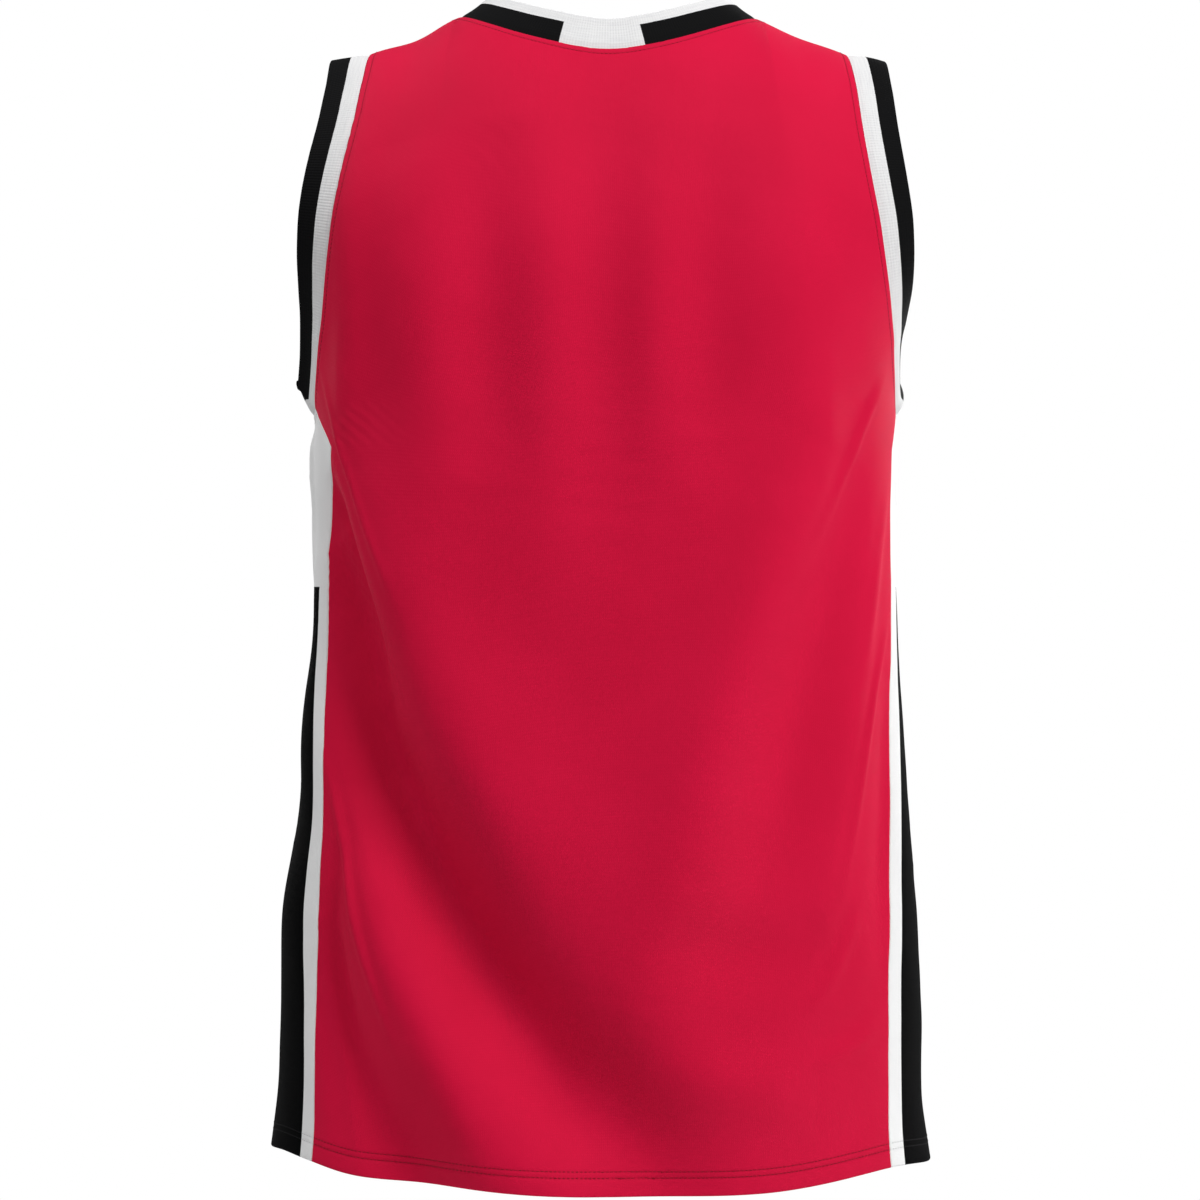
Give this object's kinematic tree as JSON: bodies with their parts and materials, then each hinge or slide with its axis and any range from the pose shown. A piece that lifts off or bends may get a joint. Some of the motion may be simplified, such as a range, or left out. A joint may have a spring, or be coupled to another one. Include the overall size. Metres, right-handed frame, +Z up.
{
  "type": "basketball jersey",
  "caption": "Sleeveless basketball jersey, filled out as if worn, with side panels, a ribbed collar and ribbed armhole bands; neck, armholes and hem are open.",
  "frame": {"origin": "midway between the two neck points of the shoulder seams, where the jersey hangs on its wearer", "axes": "+Z up, along the body; the front faces -Y and the back +Y; the wearer's left side is +X"},
  "size_m": [0.4257, 0.2715, 0.7524],
  "materials": {
    "red_mesh": "red polyester sports knit with a soft sheen",
    "side_mesh": "white polyester sports knit with a black inset printed in it",
    "rib": "two-tone ribbed knit, black and white"
  },
  "bodies": {
    "root": {"back_panel": "red_mesh", "front_panel": "red_mesh", "side_panel_left": "side_mesh", "side_panel_right": "side_mesh", "collar_band": "rib", "armhole_band_left": "rib", "armhole_band_right": "rib"}
  },
  "joints": []
}
